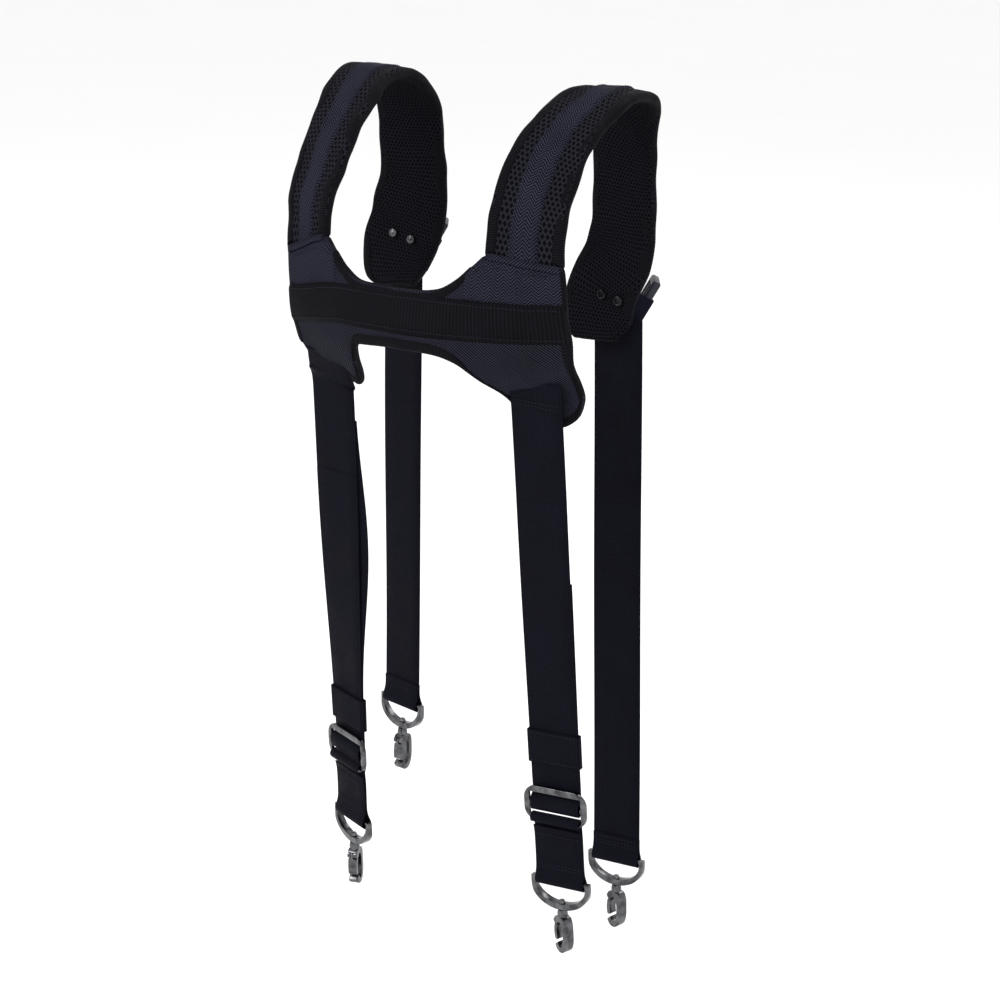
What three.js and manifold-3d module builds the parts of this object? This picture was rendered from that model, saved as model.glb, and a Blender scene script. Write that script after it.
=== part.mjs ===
// Tool-belt suspenders: a padded shoulder harness that carries a loaded tool belt on four
// hook-ended straps. Units are millimetres, +Z is up, +X is the wearer's right and +Y points
// from the back panel towards the chest. The origin lies midway between the shoulder arches,
// level with the top of the pads.

import * as THREE from 'three';
import { mergeVertices } from 'three/addons/utils/BufferGeometryUtils.js';
import Module from 'manifold-3d';

const wasm = await Module();
wasm.setup();

// ---------------------------------------------------------------- driving dimensions

const GAP = 0.3; // clearance kept between neighbouring solids

const WEB_WIDTH = 50; // load webbing
const WEB_THICK = 1.5;
const BAND_HEIGHT = 36; // flat band sewn across the back panel

// Layers of the back panel and of the pads, as offsets along the outward normal.
const YOKE_LAYERS = { lining: [-4.8, -3.3], foam: [-3, 2.7], cover: [3, 4.2], patch: [5, 5.8], band: [5.2, 6.3] };
const PAD_LAYERS = { lining: [-6.3, -4.3], foam: [-4, 4], cover: [4.3, 5.6], strip: [6.6, 7.4] };
const ANCHOR_LAYER = [8, 9.5]; // sewn end of a back strap, over the wing and its patch
const PAD_STRIP_WIDTH = 26;

// Back panel: half outline from the centre line outwards, as [x, z] of each edge.
const YOKE_TOP_EDGE = [[0, -170], [40, -168], [58, -157], [72, -143], [82, -134], [116, -137], [149, -141]];
const YOKE_LOW_EDGE = [[0, -221], [36, -223], [54, -229], [76, -250], [94, -277], [112, -286], [134, -284], [149, -264]];
const BAND_CENTRE_Z = -190;
const YOKE_HALF = 149; // half width at the wings
const PATCH_SPAN = [66, 148]; // reinforcement patches over the upper wings
const ANCHOR_Z = [-277, -250]; // height of the sewn strap ends on the wings
const WING_FLARE = 7; // the panel is this much wider at the wing tips than at the band
const LEFT_DROOP = 14; // the left wing hangs this much lower at its outer edge
const LEFT_TUCK = 0.15; // and curls in by this share of its width

// Depth (y) of the back panel's middle surface on a grid of x and z.
const GRID_X = [0, 50, 85, 115, 150];
const GRID_Z = [-130, -170, -205, -235, -265, -290];
const GRID_Y = [
  [-127, -125, -119, -114, -106],
  [-133, -130, -124, -116, -101],
  [-139, -134, -124, -112, -91],
  [-136, -130, -114, -99, -84],
  [-125, -112, -88, -84, -80],
  [-118, -104, -85, -82, -79],
];

// Shoulder pads: stations from the seam on the back panel, over the shoulder, to the chest
// end, as [x, y, z, yaw of the width in degrees, width].
const PAD_RIGHT = [
  [113, -112, -132, 13, 66], [115, -106, -100, 17, 66], [117, -80, -57, 15, 65],
  [122, -47, -29, 10, 63], [129, -6, -12, 6, 63], [126, 36, -19, 0, 63], [111, 66, -50, -8, 65],
  [105, 77, -88, -10, 67], [104, 80, -128, -10, 69], [101, 77, -168, -8, 73],
  [87, 71, -204, -4, 71], [85, 67, -230, 0, 66], [86, 63, -247, 0, 54],
];
const PAD_LEFT = [
  [-105, -112, -139, -20, 62], [-107, -106, -110, -23, 62], [-108, -80, -70, -20, 62],
  [-110, -48, -35, -12, 61], [-114, -6, -12, -4, 61], [-115, 36, -18, 0, 61], [-118, 66, -48, 8, 62],
  [-121, 77, -88, 10, 64], [-122, 80, -124, 10, 67], [-127, 77, -158, 8, 75],
  [-133, 71, -188, 4, 76], [-134, 67, -208, 0, 69], [-132, 63, -223, 0, 50],
];

// Each strap: seam or buckle end at the top, D-ring bar at the bottom, the yaw of its face in
// degrees at both ends, and the turn of its hook from there.
const STRAPS = {
  back_right: { top: [116, -91, -286], bar: [133, -74, -722], yaw: [3, 1], hook: 156 },
  back_left: { top: [-98, -91, -292], bar: [-96, -76, -710], yaw: [-8, -24], hook: -52 },
  chest_right: { top: [102, 76, -248], bar: [116, 62, -758], yaw: [0, 0], hook: 165 },
  chest_left: { top: [-133, 77, -234], bar: [-130, 62, -648], yaw: [-12, -16], hook: -79 },
};

// Adjusters on the back straps, as heights above the D-ring bar.
const SLIDER_HEIGHT = { back_right: 77, back_left: 72 };
const KEEPER_HEIGHT = { back_right: 133, back_left: 112 };
const TAIL_TOP = { back_right: 300, back_left: 330 };
const KEEPER_TALL = 32;
const TAIL_OFFSET = 1.9; // tail webbing behind the load webbing
const SLIDER_HALF = [32, 17.5];
const SLIDER_CORNER = 13;
const SLIDER_THICK = 3.6;
const SLIDER_SLOT = [53, 9];
const SLIDER_BAR = 4.6;
const SLIDER_SETBACK = 3; // the slider's plane in front of the load webbing

// D-ring and swivel hook.
const RING_BAR_R = 2.5;
const RING_HALF_WIDTH = 30;
const RING_INNER_HALF = 25.8;
const RING_DROP = 27.5; // bar centre to the underside
const RING_RIM = 6;
const RING_THICK = 5;
const RING_DEEP = 7.4; // thickness of the ring's curved part
const POST_R = 2;
const HOOK_DEPTH = 9.4; // thickness of the hook body
const HOOK_OVAL = { centre: -25.5, outer: [9.4, 18.5], inner: [4.6, 13.2] };
const HOOK_SQUARE = { shoulders: 0.58, bend: 0.86 }; // below 1 the oval is squared off

const GATE_PIVOT = [5.4, -12.6];
const GATE_LENGTH = 20;
const GATE_DEPTH = 8.4;
const GATE_SLOT = [11, 3.8, 9]; // cut in the body for the gate's tongue and spring
const LUG_R = 3;
const BOSS = [[0, -9.5], [4.6, -9.5], [5, -4], [4.2, -0.6], [0, -0.6]]; // radius and height
const PIN_R = 1;
const GATE_SPRING = { inner: 1.5, outer: 2.1, start: 0.8, wire: 0.4 };

// Ladder-lock buckles on the chest ends.
const BUCKLE_SIZE = [66, 30, 8];
const BUCKLES = {
  right: { at: [109, 101, -224], roll: -60, yaw: 31 },
  left: { at: [-124, 108, -196], roll: -60, yaw: 31 },
};
const TAB_TONGUE = 18; // reach of the tab from the buckle's bar to the pad
const RIVET_R = 4.5;
const RIVET_SPACING = 18;
const RIVET_AT = { right: [0.835, 14], left: [0.8, 3] }; // along the pad, and across it

// ---------------------------------------------------------------- colours

const finish = (color, roughness, metalness) => () =>
  new THREE.MeshStandardMaterial({ color, roughness, metalness });
const TWILL = finish(0x17171f, 0.8, 0);
const MESH_FABRIC = finish(0x0e0e12, 0.9, 0);
const FOAM = finish(0x1c1c1c, 0.95, 0);
const WEBBING = finish(0x0f0f16, 0.75, 0);
const GUNMETAL = finish(0x5a5a5f, 0.25, 1);
const STEEL = finish(0x8c8c90, 0.3, 1);
const PLASTIC = finish(0x23232d, 0.45, 0);

// ---------------------------------------------------------------- solids and booleans

const tidy = (geometry) => {
  const bare = geometry.index ? geometry : geometry.clone();
  bare.deleteAttribute('normal');
  bare.deleteAttribute('uv');
  return mergeVertices(bare, 1e-4);
};

const signedVolume = (geometry) => {
  const p = geometry.attributes.position;
  const [a, b, c] = [0, 1, 2].map(() => new THREE.Vector3());
  let total = 0;
  for (let i = 0; i < geometry.index.count; i += 3) {
    [a, b, c].forEach((v, k) => v.fromBufferAttribute(p, geometry.index.getX(i + k)));
    total += a.dot(b.cross(c));
  }
  return total / 6;
};

const facingOut = (geometry) => {
  const g = tidy(geometry);
  if (signedVolume(g) < 0) {
    const index = g.index.array;
    for (let i = 0; i < index.length; i += 3) [index[i], index[i + 1]] = [index[i + 1], index[i]];
  }
  return g;
};

const toManifold = (geometry) => {
  const g = facingOut(geometry);
  return new wasm.Manifold(new wasm.Mesh({
    numProp: 3,
    vertProperties: Float32Array.from(g.attributes.position.array),
    triVerts: Uint32Array.from(g.index.array),
  }));
};

const fromManifold = (manifold) => {
  const m = manifold.getMesh();
  const g = new THREE.BufferGeometry();
  g.setAttribute('position', new THREE.BufferAttribute(Float32Array.from(m.vertProperties), 3));
  g.setIndex(new THREE.BufferAttribute(Uint32Array.from(m.triVerts), 1));
  return g;
};

const subtract = (body, ...tools) =>
  fromManifold(tools.reduce((rest, tool) => rest.subtract(toManifold(tool)), toManifold(body)));
const join = (...bodies) =>
  fromManifold(bodies.slice(1).reduce((sum, body) => sum.add(toManifold(body)), toManifold(bodies[0])));

const mesh = (name, geometry, material) => {
  const m = new THREE.Mesh(facingOut(geometry), material());
  m.name = name;
  return m;
};

// ---------------------------------------------------------------- shape helpers

const rad = THREE.MathUtils.degToRad;

/** Catmull-Rom value at t of a list of numbers placed at rising positions. */
const spline = (at, values, t) => {
  let i = 0;
  while (i < at.length - 2 && t > at[i + 1]) i += 1;
  const k = Math.min(1, Math.max(0, (t - at[i]) / (at[i + 1] - at[i])));
  const slope = (j) => {
    const [a, b] = [Math.max(0, j - 1), Math.min(at.length - 1, j + 1)];
    return ((values[b] - values[a]) / (at[b] - at[a])) * (at[i + 1] - at[i]);
  };
  const [p, q, m, n] = [values[i], values[i + 1], slope(i), slope(i + 1)];
  return p + k * (m + k * (3 * (q - p) - 2 * m - n + k * (2 * (p - q) + m + n)));
};

/** A layer of cloth or foam: a box whose faces follow surface(u, v, offset). */
const sheet = (surface, [low, high], cols, rows) => {
  const box = new THREE.BoxGeometry(1, 1, 1, cols, rows, 1);
  // Both broad faces are split along the same diagonals, so that stacked layers stay parallel.
  const { start, count } = box.groups[5];
  const index = box.index.array;
  for (let i = start; i < start + count; i += 6) {
    const [a, b, d, , c] = index.slice(i, i + 6);
    index.set([a, b, c, a, c, d], i);
  }
  const p = box.attributes.position;
  for (let i = 0; i < p.count; i += 1) {
    const at = surface(p.getX(i) + 0.5, p.getY(i) + 0.5, p.getZ(i) > 0 ? high : low);
    p.setXYZ(i, at.x, at.y, at.z);
  }
  return box;
};

/** A [y, z] outline extruded across the webbing's width, centred on x = 0. */
const acrossWidth = (points, width, holes = []) => {
  const shape = new THREE.Shape(points.map(([y, z]) => new THREE.Vector2(y, z)));
  holes.forEach((hole) => shape.holes.push(hole));
  const g = new THREE.ExtrudeGeometry(shape, { depth: width, bevelEnabled: false, curveSegments: 6 });
  g.translate(0, 0, -width / 2);
  g.applyMatrix4(new THREE.Matrix4().set(0, 0, 1, 0, 1, 0, 0, 0, 0, 1, 0, 0, 0, 0, 0, 1));
  return g;
};

/** The closed outline of a thin line with a thickness, from its middle points. */
const thicken = (points, thick) => {
  const side = (sign) => points.map(([y, z], i) => {
    const [a, b] = [points[Math.max(0, i - 1)], points[Math.min(points.length - 1, i + 1)]];
    const length = Math.hypot(b[0] - a[0], b[1] - a[1]);
    return [y + (sign * thick * (b[1] - a[1])) / length / 2, z - (sign * thick * (b[0] - a[0])) / length / 2];
  });
  return [...side(1), ...side(-1).reverse()];
};

const rectangle = (w, h, x = 0, y = 0) => new THREE.Shape([
  new THREE.Vector2(x - w / 2, y - h / 2), new THREE.Vector2(x + w / 2, y - h / 2),
  new THREE.Vector2(x + w / 2, y + h / 2), new THREE.Vector2(x - w / 2, y + h / 2),
]);

/** A shape in the x-z plane with a thickness along y, centred on y. */
const plate = (shape, thick, y = 0, segments = 10) => {
  const g = new THREE.ExtrudeGeometry(shape, { depth: thick, curveSegments: segments, bevelEnabled: false });
  g.translate(0, 0, -thick / 2);
  g.rotateX(Math.PI / 2);
  g.translate(0, y, 0);
  return g;
};

const cylinder = (r, length, sides = 16) => new THREE.CylinderGeometry(r, r, length, sides);

// ---------------------------------------------------------------- back panel (yoke)

const edgeAt = (edge, x) => spline(edge.map((p) => p[0]), edge.map((p) => p[1]), Math.abs(x));
const smooth = (from, to, value) => THREE.MathUtils.smoothstep(value, from, to);

const yokeDepth = (x, z) => {
  const rows = GRID_Y.map((row) => spline(GRID_X, row, Math.abs(x)));
  return spline(GRID_Z.map((v) => -v), rows, -z);
};

/** A point of the back panel: x and z on the flattened panel, offset along its normal. */
const yokePoint = (x, z, offset) => {
  const flare = (WING_FLARE / YOKE_HALF) * (1 - smooth(-265, -225, z));
  const flared = x * (1 + (x < 0 ? -LEFT_TUCK * smooth(60, YOKE_HALF, -x) : flare));
  const at = (a, b) => new THREE.Vector3(a, yokeDepth(a, b), b - (a < 0 ? LEFT_DROOP * smooth(50, YOKE_HALF, -a) : 0));
  const across = at(flared + 1, z).sub(at(flared - 1, z));
  const up = at(flared, z + 1).sub(at(flared, z - 1));
  return at(flared, z).addScaledVector(across.cross(up).normalize(), offset);
};

const yokeLayer = (layer, [x0, x1], low, high, cols, rows) => sheet((u, v, offset) => {
  const x = THREE.MathUtils.lerp(x0, x1, u);
  return yokePoint(x, THREE.MathUtils.lerp(low(x), high(x), v), offset);
}, layer, cols, rows);

const yokeLow = (x) => edgeAt(YOKE_LOW_EDGE, x);
const yokeTop = (x) => edgeAt(YOKE_TOP_EDGE, x);
const bandLow = () => BAND_CENTRE_Z - BAND_HEIGHT / 2;
const bandHigh = () => BAND_CENTRE_Z + BAND_HEIGHT / 2 - 1;

const makeYoke = () => {
  const group = new THREE.Group();
  const full = [-YOKE_HALF, YOKE_HALF];
  for (const [name, look] of [['lining', MESH_FABRIC], ['foam', FOAM], ['cover', TWILL]]) {
    group.add(mesh(`yoke_${name}`, yokeLayer(YOKE_LAYERS[name], full, yokeLow, yokeTop, 26, 12), look));
  }
  group.add(mesh('yoke_band', yokeLayer(YOKE_LAYERS.band, full, bandLow, bandHigh, 26, 4), WEBBING));
  const patchLow = () => bandHigh() + 1;
  const [near, far] = PATCH_SPAN;
  for (const [side, span] of [['right', [near, far]], ['left', [-far, -near]]]) {
    const patchTop = (x) => yokeTop(x) - 2;
    group.add(mesh(`yoke_patch_${side}`, yokeLayer(YOKE_LAYERS.patch, span, patchLow, patchTop, 8, 3), TWILL));
  }
  return group;
};

// ---------------------------------------------------------------- shoulder pads

const padSurface = (stations) => {
  const middle = new THREE.CatmullRomCurve3(stations.map(([x, y, z]) => new THREE.Vector3(x, y, z)));
  const steps = stations.map((_, i) => i / (stations.length - 1));
  return (t, side, offset) => {
    const yaw = rad(spline(steps, stations.map((s) => s[3]), t));
    const width = spline(steps, stations.map((s) => s[4]), t);
    const along = middle.getTangent(t);
    const across = new THREE.Vector3(Math.cos(yaw), Math.sin(yaw), 0);
    across.addScaledVector(along, -across.dot(along)).normalize();
    const out = across.clone().cross(along).normalize();
    return middle.getPoint(t).addScaledVector(across, side * width).addScaledVector(out, offset);
  };
};

const PAD_ROWS = 30;
const STRIP_ROWS = 27; // the strip stops short of the chest end

const makePad = (side, stations) => {
  const group = new THREE.Group();
  const surface = padSurface(stations);
  const layer = (offsets, span, rows) => sheet((u, v, offset) => {
    return surface((v * rows) / PAD_ROWS, (u - 0.5) * span, offset);
  }, offsets, 2, rows);
  for (const [name, look] of [['lining', MESH_FABRIC], ['foam', FOAM], ['cover', MESH_FABRIC]]) {
    group.add(mesh(`pad_${name}_${side}`, layer(PAD_LAYERS[name], 1, PAD_ROWS), look));
  }
  const strip = layer(PAD_LAYERS.strip, PAD_STRIP_WIDTH / 70, STRIP_ROWS);
  group.add(mesh(`pad_strip_${side}`, strip, TWILL));
  return group;
};

/** Two rivets through the chest end of a pad, set side by side below its twill strip. */
const makeRivets = (side, stations) => {
  const surface = padSurface(stations);
  const group = new THREE.Group();
  const profile = [[0, -2.2], [RIVET_R, -1.6], [RIVET_R, -0.8], [1.5, -0.8], [1.5, 0], [0, 0]];
  for (const [i, name] of ['inner', 'outer'].entries()) {
    const stud = new THREE.LatheGeometry(profile.map(([r, h]) => new THREE.Vector2(r, h)), 12);
    const [along, shift] = RIVET_AT[side];
    const across = ((i - 0.5) * RIVET_SPACING + shift) / 70;
    const seat = surface(along, across, PAD_LAYERS.lining[0] - GAP);
    const out = surface(along, across, 0).sub(seat).normalize();
    const part = mesh(`pad_rivet_${name}_${side}`, stud, GUNMETAL);
    part.position.copy(seat);
    part.quaternion.setFromUnitVectors(new THREE.Vector3(0, 1, 0), out);
    group.add(part);
  }
  return group;
};

// ---------------------------------------------------------------- D-ring and swivel hook

const ringGeometry = () => {
  const outline = new THREE.Shape();
  const top = -4;
  outline.moveTo(-RING_HALF_WIDTH, top);
  outline.absellipse(0, top, RING_HALF_WIDTH, RING_DROP + top, Math.PI, 2 * Math.PI, false);
  outline.lineTo(RING_HALF_WIDTH, RING_BAR_R);
  outline.lineTo(-RING_HALF_WIDTH, RING_BAR_R);
  const hole = new THREE.Path();
  hole.moveTo(-RING_INNER_HALF, top);
  hole.lineTo(-RING_INNER_HALF, -RING_BAR_R);
  hole.lineTo(RING_INNER_HALF, -RING_BAR_R);
  hole.lineTo(RING_INNER_HALF, top);
  hole.absellipse(0, top, RING_INNER_HALF, RING_DROP + top - RING_RIM, 0, Math.PI, true);
  outline.holes.push(hole);
  const bore = cylinder(POST_R + GAP, 20, 12).rotateX(Math.PI / 2);
  bore.translate(0, 0, -RING_DROP);
  const ring = plate(outline, RING_THICK, 0, 9);
  const p = ring.attributes.position;
  for (let i = 0; i < p.count; i += 1) {
    const deepen = THREE.MathUtils.lerp(1, RING_DEEP / RING_THICK, smooth(5, 14, -p.getZ(i)));
    p.setY(i, p.getY(i) * deepen);
  }
  return subtract(ring, bore);
};

const postGeometry = () => {
  const inside = -RING_DROP + RING_RIM + 0.5;
  const profile = [[0, inside + 3.2], [2.4, inside + 2.6], [3.6, inside], [POST_R, inside]];
  profile.push([POST_R, -RING_DROP - 1.2], [0, -RING_DROP - 1.2]);
  const g = new THREE.LatheGeometry(profile.map(([r, h]) => new THREE.Vector2(r, h)), 14);
  return g.rotateX(Math.PI / 2);
};

/** A point of the hook's squared-off oval outline. */
const ovalPoint = ([rx, rz], angle, shoulders = HOOK_SQUARE.bend) => {
  const power = Math.sin(angle) > 0 ? shoulders : HOOK_SQUARE.bend;
  const [c, s] = [Math.cos(angle), Math.sin(angle)].map((v) => Math.sign(v) * Math.abs(v) ** power);
  return [rx * c, HOOK_OVAL.centre + rz * s];
};

const hookGeometry = () => {
  const [start, end, steps] = [rad(52), rad(322), 22];
  const angles = Array.from({ length: steps + 1 }, (_, i) => start + ((end - start) * i) / steps);
  const outer = angles.map((a) => ovalPoint(HOOK_OVAL.outer, a, HOOK_SQUARE.shoulders));
  const inner = angles.map((a) => ovalPoint(HOOK_OVAL.inner, a)).reverse();
  const outline = new THREE.Shape([...outer, ...inner].map(([x, z]) => new THREE.Vector2(x, z)));
  const body = plate(outline, HOOK_DEPTH);
  const lug = cylinder(LUG_R, HOOK_DEPTH, 16);
  lug.translate(GATE_PIVOT[0], 0, GATE_PIVOT[1]);
  const boss = new THREE.LatheGeometry(BOSS.map(([r, h]) => new THREE.Vector2(r, h)), 16).rotateX(Math.PI / 2);
  const slot = new THREE.BoxGeometry(...GATE_SLOT);
  slot.translate(GATE_PIVOT[0] + 1.9, 0, GATE_PIVOT[1] - 1.2);
  const bore = cylinder(PIN_R + GAP, 20, 12);
  bore.translate(GATE_PIVOT[0], 0, GATE_PIVOT[1]);
  const socket = cylinder(POST_R + GAP, 3, 12).rotateX(Math.PI / 2);
  socket.translate(0, 0, -1);
  return subtract(join(body, lug, boss), slot, bore, socket);
};

/** The gate hangs from its pivot at the origin, a wide lever with a thin tongue at the top. */
const gateGeometry = () => {
  const reach = -GATE_LENGTH;
  const lever = new THREE.Shape();
  lever.moveTo(-2.2, -3.6);
  lever.lineTo(2.1, -3.6);
  lever.quadraticCurveTo(4.4, (reach - 3) / 2, 2.6, reach + 0.8);
  lever.quadraticCurveTo(0.6, reach - 0.6, -1.2, reach + 0.8);
  lever.quadraticCurveTo(0.4, (reach - 3) / 2, -2.2, -3.6);
  const tongue = new THREE.Shape();
  tongue.absarc(0, 0, 2.4, 0, Math.PI, false);
  tongue.lineTo(-2, -5);
  tongue.lineTo(2, -5);
  const bore = cylinder(PIN_R + GAP, 20, 12);
  return subtract(join(plate(lever, GATE_DEPTH, 0, 5), plate(tongue, 1.8, -0.6, 8)), bore);
};

/** The torsion spring's two closed turns, side by side on the gate pin. */
const springGeometry = () => {
  const { inner, outer, start, wire } = GATE_SPRING;
  const groove = outer - wire / 3;
  const profile = [[inner, start], [outer, start], [outer, start + 0.8 * wire], [groove, start + wire]];
  profile.push([outer, start + 1.2 * wire], [outer, start + 2 * wire], [inner, start + 2 * wire], [inner, start]);
  return new THREE.LatheGeometry(profile.map(([r, h]) => new THREE.Vector2(r, h)), 12);
};

/** Ring, post, hook, gate, pin and spring, hung from the ring's bar at the origin. */
const makeHardware = (strap, hookTurn) => {
  const group = new THREE.Group();
  group.add(mesh(`dring_${strap}`, ringGeometry(), GUNMETAL));
  const hook = new THREE.Group();
  hook.rotation.z = rad(hookTurn);
  hook.add(mesh(`swivel_post_${strap}`, postGeometry(), STEEL));
  const below = new THREE.Group();
  below.position.z = -RING_DROP;
  below.add(mesh(`hook_body_${strap}`, hookGeometry(), GUNMETAL));
  const pivot = new THREE.Group();
  pivot.position.set(GATE_PIVOT[0], 0, GATE_PIVOT[1]);
  pivot.add(mesh(`hook_gate_${strap}`, gateGeometry(), GUNMETAL));
  pivot.add(mesh(`gate_pin_${strap}`, cylinder(PIN_R, HOOK_DEPTH, 12), STEEL));
  pivot.add(mesh(`gate_spring_${strap}`, springGeometry(), STEEL));
  below.add(pivot);
  hook.add(below);
  group.add(hook);
  return group;
};

// ---------------------------------------------------------------- webbing and adjusters

/** Webbing doubled round a bar at the origin and sewn flat above it, up to the given height. */
const loopOutline = (height, thick) => {
  const hole = Math.hypot(RING_BAR_R, RING_THICK / 2) + GAP;
  const outer = hole + WEB_THICK;
  const points = [];
  for (let i = 0; i <= 10; i += 1) {
    const a = rad(140 + 26 * i);
    points.push([outer * Math.cos(a), outer * Math.sin(a)]);
  }
  points.push([thick / 2, 9], [thick / 2, height], [-thick / 2, height], [-thick / 2, 9]);
  const bar = new THREE.Path();
  bar.absarc(0, 0, hole, 0, 2 * Math.PI, true);
  return [points, [bar]];
};

/** A frame whose z runs up the strap and whose x runs across it at the given yaw. */
const strapFrame = (top, bar, yaw) => {
  const up = new THREE.Vector3(...top).sub(new THREE.Vector3(...bar)).normalize();
  const across = new THREE.Vector3(Math.cos(rad(yaw)), Math.sin(rad(yaw)), 0);
  across.addScaledVector(up, -across.dot(up)).normalize();
  const group = new THREE.Group();
  group.position.set(...bar);
  group.quaternion.setFromRotationMatrix(new THREE.Matrix4().makeBasis(across, up.clone().cross(across), up));
  return group;
};

const strapLength = ({ top, bar }) => Math.hypot(...top.map((v, i) => v - bar[i]));

/** Turns a strap's geometry about its length, from no turn at the adjuster to the full turn. */
const twist = (geometry, from, to, degrees) => {
  const p = geometry.attributes.position;
  for (let i = 0; i < p.count; i += 1) {
    const a = rad(degrees) * smooth(from, to, p.getZ(i));
    const [x, y] = [p.getX(i), p.getY(i)];
    p.setXY(i, x * Math.cos(a) - y * Math.sin(a), x * Math.sin(a) + y * Math.cos(a));
  }
  return geometry;
};

/** The load webbing comes down behind the slider's top rim, over its bar and up as the tail. */
const threadedOutline = (slider, tailTop, top) => {
  const turn = [[0, 12], [-1.2, 9.4], [-4.6, 6.6], [-6.2, 3.4], [-6.4, 0], [-5.8, -3.6], [-3.4, -6.4], [-0.4, -5.2]];
  turn.push([1.1, -2], [TAIL_OFFSET - 0.1, 2.5], [TAIL_OFFSET, 12]);
  const load = [];
  for (let z = top; z > slider + 30; z -= 28) load.push([0, z]);
  const tail = [];
  for (let z = slider + 40; z < tailTop; z += 28) tail.push([TAIL_OFFSET, z]);
  tail.push([TAIL_OFFSET, tailTop]);
  return thicken([...load, ...turn.map(([y, z]) => [y, z + slider]), ...tail], WEB_THICK);
};

const sliderGeometry = () => {
  const [w, h] = SLIDER_HALF;
  const r = SLIDER_CORNER;
  const outline = new THREE.Shape();
  outline.absarc(w - r, r - h, r, -Math.PI / 2, 0, false);
  outline.absarc(w - r, h - r, r, 0, Math.PI / 2, false);
  outline.absarc(r - w, h - r, r, Math.PI / 2, Math.PI, false);
  outline.absarc(r - w, r - h, r, Math.PI, 1.5 * Math.PI, false);
  const offset = (SLIDER_BAR + SLIDER_SLOT[1]) / 2;
  for (const side of [-1, 1]) outline.holes.push(rectangle(...SLIDER_SLOT, 0, side * offset));
  return plate(outline, SLIDER_THICK, 0, 5);
};

const keeperGeometry = () => {
  const outline = rectangle(WEB_WIDTH + 4.4, 7.2, 0, TAIL_OFFSET / 2);
  outline.holes.push(rectangle(WEB_WIDTH + 1.4, 4.4, 0, TAIL_OFFSET / 2));
  const g = new THREE.ExtrudeGeometry(outline, { depth: KEEPER_TALL, bevelEnabled: false });
  return g.translate(0, 0, -KEEPER_TALL / 2);
};

const makeBackStrap = (side) => {
  const key = `back_${side}`;
  const strap = STRAPS[key];
  const [slider, keeper, top] = [SLIDER_HEIGHT[key], KEEPER_HEIGHT[key], strapLength(strap)];
  const group = strapFrame(strap.top, strap.bar, strap.yaw[1]);
  const turn = strap.yaw[0] - strap.yaw[1];
  const webbing = acrossWidth(threadedOutline(slider, TAIL_TOP[key], top), WEB_WIDTH);
  group.add(mesh(`back_strap_${side}`, twist(webbing, keeper - 30, top - 60, turn), WEBBING));
  const band = keeperGeometry();
  const bandTurn = turn * smooth(keeper - 30, top - 60, keeper);
  band.rotateZ(rad(bandTurn)).translate(0, 0, keeper);
  group.add(mesh(`strap_keeper_${side}`, band, WEBBING));
  const glide = sliderGeometry().translate(0, -SLIDER_SETBACK, slider);
  group.add(mesh(`strap_slider_${side}`, glide, GUNMETAL));
  group.add(mesh(`drop_strap_${side}`, dropStrapGeometry(slider), WEBBING));
  group.add(makeHardware(key, strap.hook));
  return group;
};

/** A short strap sewn round the slider's lower rim and round the D-ring's bar. */
const dropStrapGeometry = (slider) => {
  const rim = slider - SLIDER_HALF[1] + 3.4;
  const outer = 3.8 + WEB_THICK;
  const [points, holes] = loopOutline(rim - 10, 2 * WEB_THICK);
  const cap = [];
  for (let i = 0; i <= 10; i += 1) {
    const a = rad(-40 + 26 * i);
    cap.push([-SLIDER_SETBACK + (outer - 1.2) * Math.cos(a), rim + outer * Math.sin(a)]);
  }
  const kept = points.slice(0, 12);
  const outline = [...kept, ...cap, points[points.length - 1]];
  return acrossWidth(outline, WEB_WIDTH, [...holes, rectangle(4.4, 7, -SLIDER_SETBACK, rim)]);
};

/** The sewn end of a back strap, lying on the wing of the back panel. */
const makeAnchor = (side) => {
  const sign = side === 'right' ? 1 : -1;
  const half = WEB_WIDTH / 2;
  const middle = Math.abs(STRAPS[`back_${side}`].top[0]);
  const span = sign > 0 ? [middle - half, middle + half] : [-middle - half, -middle + half];
  const [low, high] = ANCHOR_Z.map((z) => () => z);
  return mesh(`strap_anchor_${side}`, yokeLayer(ANCHOR_LAYER, span, low, high, 5, 6), WEBBING);
};

const makeChestStrap = (side) => {
  const key = `chest_${side}`;
  const strap = STRAPS[key];
  const [top, loopTop] = [strapLength(strap), 22];
  const group = strapFrame(strap.top, strap.bar, strap.yaw[1]);
  const line = [];
  for (let z = top; z > loopTop + 20; z -= 28) line.push([0, z]);
  line.push([0, loopTop + GAP]);
  const webbing = acrossWidth(thicken(line, WEB_THICK), WEB_WIDTH);
  group.add(mesh(`chest_strap_${side}`, twist(webbing, 60, top - 60, strap.yaw[0] - strap.yaw[1]), WEBBING));
  const [points, holes] = loopOutline(loopTop, 2 * WEB_THICK);
  group.add(mesh(`strap_loop_${side}`, acrossWidth(points, WEB_WIDTH, holes), WEBBING));
  group.add(makeHardware(key, strap.hook));
  return group;
};

/** A plastic ladder-lock: a frame with two slots between three bars. */
const buckleGeometry = () => {
  const [w, h, t] = BUCKLE_SIZE;
  const outline = rectangle(w, h);
  for (const side of [-1, 1]) outline.holes.push(rectangle(w - 13, 8, 0, side * 6.6));
  return plate(outline, t);
};

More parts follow.
